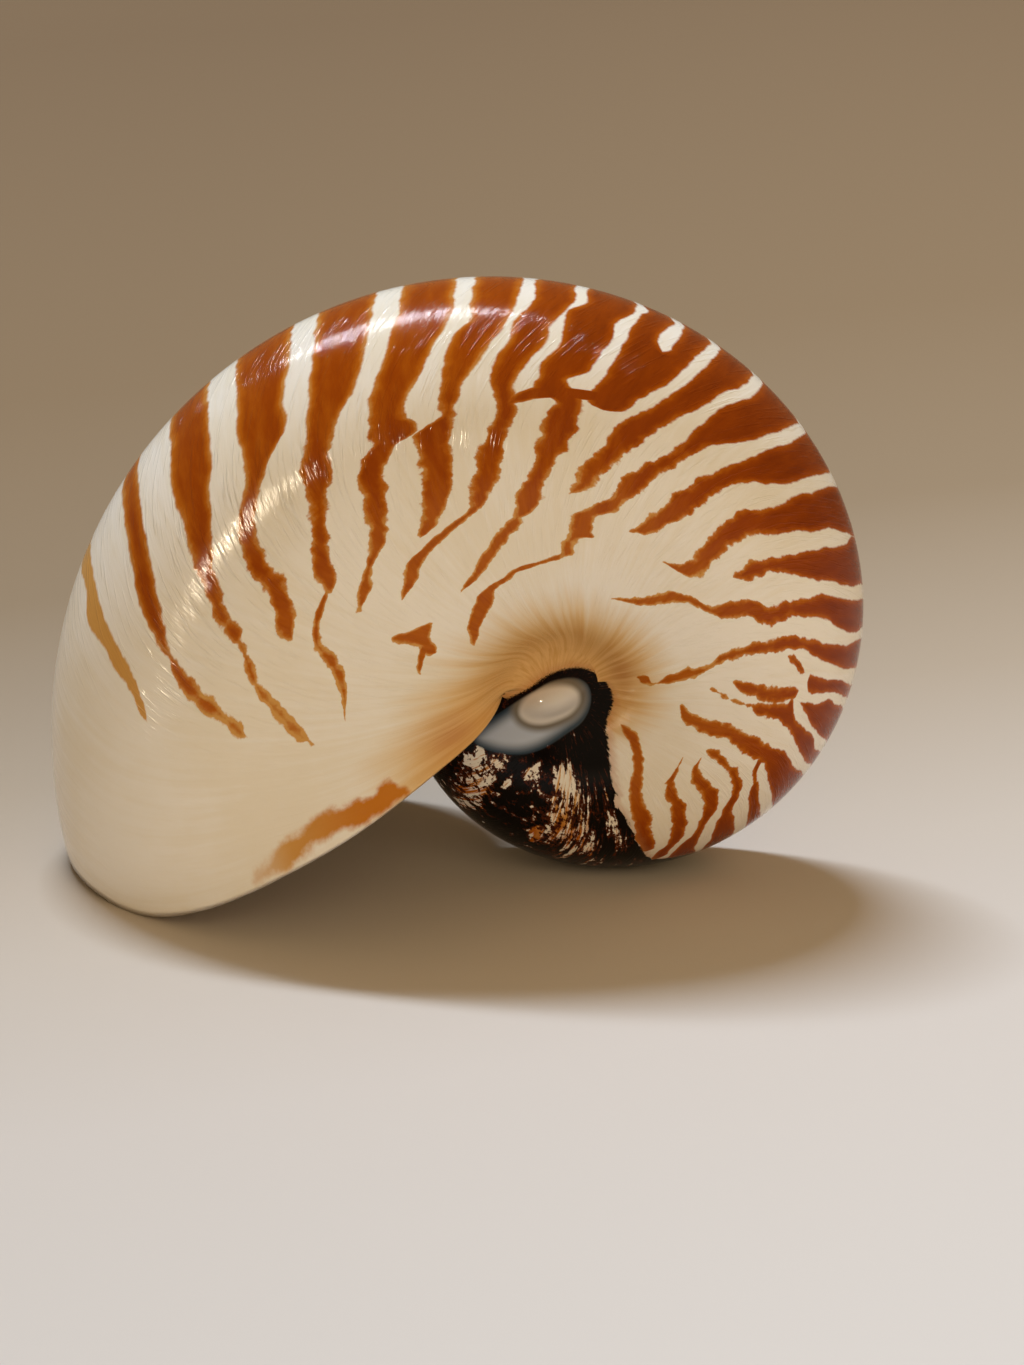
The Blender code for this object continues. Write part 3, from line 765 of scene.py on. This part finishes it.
def edge_curve(tree, share, rows, side):
    """One edge of a mark as a curve: its degrees, as a share of the curve's span."""
    node = add_node(tree, "FloatCurve", {"Value": share})
    line = node.mapping.curves[0]
    places = [(row[0], (row[side] - CURVE_FROM) / CURVE_SPAN) for row in rows]
    line.points[0].location = places[0]
    line.points[1].location = places[-1]
    for place in places[1:-1]:
        line.points.new(*place)
    for point in line.points:
        point.handle_type = "AUTO_CLAMPED"
    node.mapping.extend = "HORIZONTAL"
    node.mapping.use_clip = False
    node.mapping.update()
    return node.outputs[0]


def depth_in_marks(tree, angle, share, marks):
    """How deep a point lies inside the nearest of some marks, as a share of the curve's span."""
    depth = None
    for mark in marks:
        rows = closed_mark(mark)
        front = calc(tree, "SUBTRACT", angle, edge_curve(tree, share, rows, 1))
        back = calc(tree, "SUBTRACT", edge_curve(tree, share, rows, 2), angle)
        inside = calc(tree, "MINIMUM", front, back)
        depth = inside if depth is None else calc(tree, "MAXIMUM", depth, inside)
    return depth


# Where the stripes lie on the far flank: the same ones, drawn out by a slow wave that is
# nothing at the outer curve.
FAR_WAVES = ((5.5, 3.1, 7.0, 0.4), (3.2, 9.0, -5.0, 1.9), (2.0, 17.0, 12.0, 4.2))
far_side = smooth_step((shares - 0.05) / 0.3) * (points[:, 1] > 0.0)
wave = sum(size * np.sin(np.radians(turns * degrees) + rise * shares + start)
           for size, turns, rise, start in FAR_WAVES)
stripe_degrees = degrees + far_side * wave
line_degrees = stripe_degrees - lip_advance(np.minimum(shares, 1.0))
set_value("growth", (stripe_degrees - CURVE_FROM) / CURVE_SPAN)
set_value("line", (line_degrees - CURVE_FROM) / CURVE_SPAN)
set_value("across", shares)
set_value("side", np.sign(points[:, 1]) * shares)

# How dark the pigment is: darkest near the outer curve in the middle of the whorl, paler in
# the stripes' lower ends and near the lip, and ochre in the newest stripe.
PIGMENT = 0.55
DARK_MIDDLE = 0.28
PALE_LOW_END = 0.17
PALE_YOUNG_LOW = 0.22
PALE_NEWEST = 0.93
NEWEST_REACH = 0.45
NEWEST_SHARES = (0.0, 0.15, 0.25, 0.33, 0.4, 0.5)
NEWEST_LIMIT = (-31.5, -27.5, -24.0, -18.0, -13.0, -6.0)
dark_middle = smooth_step((-85.0 - degrees) / 30.0) * (1.0 - smooth_step((shares - 0.12) / 0.35))
newest = smooth_step((degrees - np.interp(shares, NEWEST_SHARES, NEWEST_LIMIT)) / 3.0 + 0.5)
low_end = smooth_step((shares - 0.38) / 0.25)
young_low = smooth_step((degrees + 32.0) / 20.0) * smooth_step((shares - 0.3) / 0.2)
pigment = PIGMENT + DARK_MIDDLE * dark_middle - PALE_LOW_END * low_end - PALE_YOUNG_LOW * young_low
set_value("pigment", pigment * (1.0 - PALE_NEWEST * newest * (shares < NEWEST_REACH)))

# The umbilical zone, the black film and the callus
# The film is dark organic matter that the animal spread over the whorl before the mouth. It
# is worn through in places, and frames the callus in the umbilicus.
TAN_DEGREES = (-360.0, -260.0, -200.0, -150.0, -100.0, -60.0, -25.0, 0.0, 10.0)
TAN_SHARES = (0.80, 0.77, 0.74, 0.76, 0.79, 0.82, 0.81, 0.74, 0.74)
FILM_SHARES = (0.0, .1, .15, .2, .25, .35, .45, .5, .53, .55, .6, .63, .65, .7, .735, .75, .77,
               .8, .82, .86, 1.0)
FILM_LIMIT = (-243, -248, -252, -259, -259.5, -259.3, -258.7, -260, -261, -258.1, -257.3, -256.3,
              -254.4, -250.6, -247.4, -245.1, -242.6, -239.4, -243, -380, -380)
# Outlines in the plane of symmetry, in mm from the coiling axis
CALLUS_OUTLINE = ((-17.5, -11), (-16.8, -12.5), (-15.3, -13.3), (-12.1, -14.1), (-8.4, -14.2),
                  (-5.2, -13.3), (-2.3, -11.7), (.3, -9.8), (2.7, -8.1), (4.1, -6), (4.7, -3.7),
                  (4.5, -1.2), (3.3, .4), (1.3, 1), (-1.1, .7), (-3.3, 0), (-5.5, -1.4),
                  (-7.7, -2.9), (-10.3, -4.8), (-13.1, -6.9), (-16, -9.2))
BOSS_OUTLINE = ((-9, -5.3), (-7.9, -2.9), (-5.7, -1.1), (-2.3, .1), (.8, .2), (2.7, -1.2),
                (3, -3.9), (1.4, -6.2), (-1, -7.4), (-3.8, -8.3), (-6.5, -8.1), (-8.4, -7))
RING_OUTLINE = ((7.8, -12), (7.7, -10), (7.6, -8), (7.8, -6.2), (8.6, -4.5), (8.9, -2.1),
                (8.2, -.3), (6.6, 1.4), (4.4, 2.6), (2, 2.9), (-1.1, 2.2), (-3.9, .95),
                (-6.2, -.9), (-9, -2.6), (-16, -6), (-19, -12), (-15, -17), (0, -16))
# Where the film is worn off: degrees, share, their two reaches, how bare, how rusty. The
# first two are brown smears of the tan zone, where there is no film.
WORN = ((-3, .82, 9, .05, .0, .9), (-178, .84, 22, .05, .0, .6), (-282, .42, 13, .24, .62, .45),
        (-283, .60, 8, .07, 1.0, .0), (-301, .575, 5, .055, .8, .15), (-322, .36, 9, .2, .66, .4),
        (-330, .44, 5, .07, .95, .1), (-320, .22, 5, .09, .75, .3), (-322, .51, 5, .03, .9, .1),
        (-312, .47, 2, .04, .85, .1), (-293, .33, 3.5, .07, .75, .8), (-264, .42, 3, .14, .55, .2))
# Where the shoulder has been rubbed, a field of scratches: degrees, share, their two reaches
SCUFF = (-46.0, 0.34, 22.0, 0.14)
OLD_WHORL_UP_TO = -185.0
MM = 1000.0
DEPTH_LIMIT = 9.0


def rounded(outline):
    """A closed outline with its corners cut at a quarter of each side, twice."""
    corners = np.array(outline, float)
    for step in range(2):
        after = np.roll(corners, -1, axis=0)
        cuts = [corners * 0.75 + after * 0.25, corners * 0.25 + after * 0.75]
        corners = np.stack(cuts, axis=1).reshape(-1, 2)
    return corners.tolist()


def depth_in_outline(outline, x, z):
    """Signed distance in mm from a closed outline with its corners rounded, positive inside.

    The distance is the least one to its straight sides; a point is inside where an odd
    number of sides cross the ray from it towards +x.
    """
    outline = rounded(outline)
    nearest = np.full(x.shape, np.inf)
    inside = np.zeros(x.shape, bool)
    for (ax, az), (bx, bz) in zip(outline, outline[1:] + outline[:1]):
        ux, uz = bx - ax, bz - az
        part = np.clip(((x - ax) * ux + (z - az) * uz) / (ux * ux + uz * uz), 0.0, 1.0)
        nearest = np.minimum(nearest, np.hypot(x - ax - part * ux, z - az - part * uz))
        crosses = ((az > z) != (bz > z)) & (x < ax + (z - az) * ux / np.where(uz == 0.0, 1.0, uz))
        inside ^= crosses
    return np.where(inside, nearest, -nearest)


def soft_patch(angle, share, reach, height):
    """A patch of the shell: exp(-d^2), with d the distance as a share of its two reaches."""
    return np.exp(-((degrees - angle) / reach) ** 2 - ((shares - share) / height) ** 2)


radii = by_length(SECTION, np.minimum(shares, 1.0))[:, 0] * scale_at(degrees) * MM
mm_per_degree = np.radians(radii)
x_mm, z_mm = points[:, 0] * MM, points[:, 2] * MM
on_cap = shares > 1.0
old_whorl = on_cap | (degrees < OLD_WHORL_UP_TO)
film_depth = (np.interp(shares, FILM_SHARES, FILM_LIMIT) - degrees) * mm_per_degree
film_depth = np.where(on_cap, -DEPTH_LIMIT, film_depth)
ring_depth = depth_in_outline(RING_OUTLINE, x_mm, z_mm)
film_depth = np.where(old_whorl, np.maximum(film_depth, ring_depth), film_depth)
set_value("film", np.clip(film_depth, -DEPTH_LIMIT, DEPTH_LIMIT))
for name, outline in (("callus", CALLUS_OUTLINE), ("boss", BOSS_OUTLINE)):
    depth = np.where(old_whorl, depth_in_outline(outline, x_mm, z_mm), -DEPTH_LIMIT)
    set_value(name, np.clip(depth, -DEPTH_LIMIT, DEPTH_LIMIT))
set_value("umbilical", shares - np.interp(degrees, TAN_DEGREES, TAN_SHARES))
patches = [soft_patch(*mark[:4]) for mark in WORN]
set_value("bare", np.max([mark[4] * patch for mark, patch in zip(WORN, patches)], axis=0))
set_value("rusty", np.max([mark[5] * patch for mark, patch in zip(WORN, patches)], axis=0))
set_value("scuffed", soft_patch(*SCUFF))

# The finish of the outer face
# Polished shell: cream under rust stripes, tan rays in the umbilical zone, black film,
# pearly callus. Fine growth lines and scratches along them break up the gloss.
CREAM = srgb(248, 241, 231)
CREAM_WARM = srgb(243, 233, 216)
OCHRE = srgb(214, 158, 82)
ORANGE_PATCH = srgb(202, 122, 34)
ORANGE_BROWN = srgb(186, 98, 14)
RUST = srgb(158, 69, 3)
MAHOGANY = srgb(124, 48, 4)
TAN_FRINGE = srgb(232, 200, 150)
TAN = srgb(236, 190, 124)
TAN_DARK = srgb(222, 169, 100)
TAN_SMEAR = srgb(188, 122, 70)
FILM_BLACK = srgb(10, 5, 3)
FILM_BROWN = srgb(84, 34, 10)
CALLUS_CREAM = srgb(216, 210, 204)
CALLUS_SLATE = srgb(48, 64, 78)
# The colour of the ring round the boss is painted shade.
BOSS_RING_PAINTED_SHADE = srgb(120, 112, 100)
CALLUS_BLUE = srgb(188, 196, 212)
PIGMENT_TONES = ((0.04, OCHRE), (0.32, ORANGE_BROWN), (0.58, RUST), (0.95, MAHOGANY))
EDGE_RAGGED = 0.0120
EDGE_SMOOTH = 0.0030
POLISH_SMOOTH = 0.09
POLISH_DULL = 0.14
FILM_DULL = 0.88

shell_material, tree, shader = new_material("striped_shell")


def attribute(name):
    """Output of a value that the shell's points carry."""
    return add_node(tree, "Attribute", attribute_name=name).outputs["Fac"]


def growth_noise(along, across, detail=3.0, roughness=0.55, shift=0.0, slant=0.0):
    """Noise along the growth lines, with its features per turn and per section.

    The slant is how many turns a feature runs ahead over the whole section.
    """
    slanted = calc(tree, "MULTIPLY_ADD", across_share, -slant, line)
    place = add_node(tree, "CombineXYZ", {0: calc(tree, "MULTIPLY", slanted, along),
                                          1: calc(tree, "MULTIPLY", side, across), 2: shift})
    return noise(tree, place.outputs[0], 1.0, detail, Roughness=roughness)


def shifted(value, noise, amount):
    """A value moved up or down by a noise, which lies around a half."""
    return calc(tree, "ADD", value, calc(tree, "MULTIPLY", calc(tree, "SUBTRACT", noise, 0.5), amount))


growth, line, across_share, side = map(attribute, ("growth", "line", "across", "side"))

depth = depth_in_marks(tree, growth, across_share, STRIPES + tuple(tail_mark(tail) for tail in TAILS))
gap = depth_in_marks(tree, growth, across_share, GAPS)
depth = calc(tree, "MINIMUM", depth, calc(tree, "MULTIPLY", gap, -1.0))
teeth = growth_noise(95.0, 34.0, 4.0, 0.54)
raggedness = fade(tree, across_share, 0.18, 0.45, EDGE_SMOOTH, EDGE_RAGGED)
ragged_depth = shifted(depth, teeth, raggedness)
striped = fade(tree, ragged_depth, -0.0006, 0.0007)

clouds = noise(tree, add_node(tree, "TexCoord").outputs["Object"], 45.0, 4.0)
faint_lines = growth_noise(240.0, 3.0, 3.0, 0.6, 3.0)
warmth = calc(tree, "MULTIPLY_ADD", faint_lines, 0.6, clouds)
cream = blend_colours(tree, fade(tree, warmth, 0.65, 1.0), CREAM, CREAM_WARM)

tone = shifted(attribute("pigment"), growth_noise(150.0, 9.0, 4.0, 0.6, 7.0), 0.55)
tone = calc(tree, "SUBTRACT", tone, fade(tree, ragged_depth, 0.0, 0.0045, 0.36, 0.0))
rust_colour = colour_ramp(tree, tone, PIGMENT_TONES)

rays = growth_noise(80.0, 2.0, 4.0, 0.58, 11.0)
umbilical = shifted(attribute("umbilical"), rays, 0.13)
tan_share = fade(tree, umbilical, -0.09, 0.04)
tan = blend_colours(tree, fade(tree, rays, 0.38, 0.66), TAN, TAN_DARK)
tan = blend_colours(tree, fade(tree, umbilical, -0.02, 0.10), TAN_FRINGE, tan)
base = blend_colours(tree, tan_share, cream, tan)
base = blend_colours(tree, striped, base, rust_colour)

patch_depth = shifted(depth_in_marks(tree, growth, across_share, (LIP_PATCH,)), teeth, 0.014)
patch_share = calc(tree, "MULTIPLY", fade(tree, patch_depth, -0.0032, 0.0032),
                   fade(tree, across_share, 0.48, 0.56, 0.5, 1.0))
patch_colour = blend_colours(tree, fade(tree, across_share, 0.52, 0.69), OCHRE, ORANGE_PATCH)
base = blend_colours(tree, patch_share, base, patch_colour)

film = shifted(attribute("film"), growth_noise(260.0, 30.0, 4.0, 0.65, 17.0), 2.2)
film_share = fade(tree, film, -0.15, 0.15)
rusty = attribute("rusty")
stain = calc(tree, "MAXIMUM", fade(tree, film, -2.2, 0.0, 0.0, 0.45),
             calc(tree, "MULTIPLY", rusty, fade(tree, rays, 0.35, 0.6, 0.35, 0.8)))
blots = growth_noise(90.0, 26.0, 3.0, 0.6, 61.0)
streaks = growth_noise(200.0, 8.0, 4.0, 0.62, 23.0, 0.05)
streaks = calc(tree, "ADD", streaks, calc(tree, "MULTIPLY", calc(tree, "SUBTRACT", blots, streaks),
                                          fade(tree, line, 0.16, 0.12)))
flecks = growth_noise(260.0, 60.0, 4.0, 0.62, 29.0)
wear = calc(tree, "MULTIPLY_ADD", flecks, 0.45, streaks)
worn = calc(tree, "MULTIPLY_ADD", attribute("bare"), 0.42, wear)
worn_share = fade(tree, worn, 0.93, 0.99)
worn_edge = fade(tree, worn, 0.80, 0.95)
under_streaks = growth_noise(260.0, 6.0, 4.0, 0.62, 41.0, 0.05)
rust_share = calc(tree, "MULTIPLY_ADD", rusty, 0.35, under_streaks)
under_film = blend_colours(tree, fade(tree, rust_share, 0.57, 0.68), cream, rust_colour)
film_colour = blend_colours(tree, worn_edge, FILM_BLACK, FILM_BROWN)
film_colour = blend_colours(tree, worn_share, film_colour, under_film)
base = blend_colours(tree, stain, base, TAN_SMEAR)
base = blend_colours(tree, film_share, base, film_colour)

callus = attribute("callus")
callus_share = fade(tree, callus, -0.25, 0.25)
boss = attribute("boss")
callus_colour = blend_colours(tree, fade(tree, callus, 0.0, 2.8), CALLUS_SLATE, CALLUS_BLUE)
# Painted shade: a darker grey-brown ring just outside the boss's edge, where it rises from the pad.
callus_colour = blend_colours(tree, fade(tree, boss, -2.2, -0.2), callus_colour, BOSS_RING_PAINTED_SHADE)
callus_colour = blend_colours(tree, fade(tree, boss, -0.4, 0.9), callus_colour, CALLUS_CREAM)
base = blend_colours(tree, callus_share, base, callus_colour)

growth_lines = growth_noise(760.0, 7.0, 3.0, 0.7, 31.0, 0.03)
scratches = fade(tree, growth_noise(640.0, 9.0, 2.0, 0.5, 53.0, 0.08), 0.54, 0.66, 0.0, 0.8)
scratches = calc(tree, "MULTIPLY", scratches, fade(tree, line, 0.86, 0.80))
rubbed = calc(tree, "MULTIPLY_ADD", attribute("scuffed"), 3.2, 0.8)
scratches = calc(tree, "MULTIPLY", scratches, rubbed)
height = calc(tree, "MULTIPLY_ADD", growth_lines, 0.8, scratches)
height = calc(tree, "MULTIPLY", height, fade(tree, attribute("film"), -0.6, 0.0, 1.0, 0.35))
height = calc(tree, "MULTIPLY", height, fade(tree, callus, -0.4, 0.2, 1.0, 0.0))
polish = fade(tree, clouds, 0.3, 0.7, POLISH_SMOOTH, POLISH_DULL)
dull_film = calc(tree, "MULTIPLY", calc(tree, "SUBTRACT", film_share, callus_share),
                 fade(tree, across_share, 0.56, 0.68, 0.0, FILM_DULL))
set_inputs(tree, shader, {"Base Color": base,
                          "Normal": relief_normal(tree, height, strength=0.4, distance=0.0003),
                          "Roughness": calc(tree, "ADD", polish, calc(tree, "MAXIMUM", dull_film, 0.0)),
                          "Specular IOR Level": 0.14})

# The finish of the body chamber
# Nacre: pearly, faintly pink and green, in soft clouds.
NACRE_PALE = srgb(240, 236, 232)
NACRE_PINK = srgb(238, 214, 212)
NACRE_GREEN = srgb(210, 228, 220)
nacre_material, nacre_tree, nacre_shader = new_material("nacre")
nacre_place = add_node(nacre_tree, "TexCoord").outputs["Object"]
nacre_waves = noise(nacre_tree, nacre_place, 38.0, 3.0, Distortion=0.8)
nacre_tint = noise(nacre_tree, nacre_place, 16.0, 2.0)
pink_share = fade(nacre_tree, nacre_waves, 0.4, 0.7)
green_share = fade(nacre_tree, nacre_tint, 0.5, 0.75, 0.0, 0.7)
nacre_colour = blend_colours(nacre_tree, pink_share, NACRE_PALE, NACRE_PINK)
nacre_colour = blend_colours(nacre_tree, green_share, nacre_colour, NACRE_GREEN)
nacre_normal = relief_normal(nacre_tree, nacre_waves, strength=0.2, distance=0.0006)
set_inputs(nacre_tree, nacre_shader, {"Base Color": nacre_colour, "Normal": nacre_normal,
                                      "Metallic": 0.3, "Roughness": 0.26,
                                      "Thin Film Thickness": 420.0, "Thin Film IOR": 1.5})

shell_mesh.materials.append(shell_material)
shell_mesh.materials.append(nacre_material)
shell = bpy.data.objects.new("nautilus_shell", shell_mesh)
bpy.context.scene.collection.objects.link(shell)
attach(shell, "root")
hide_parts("shell")
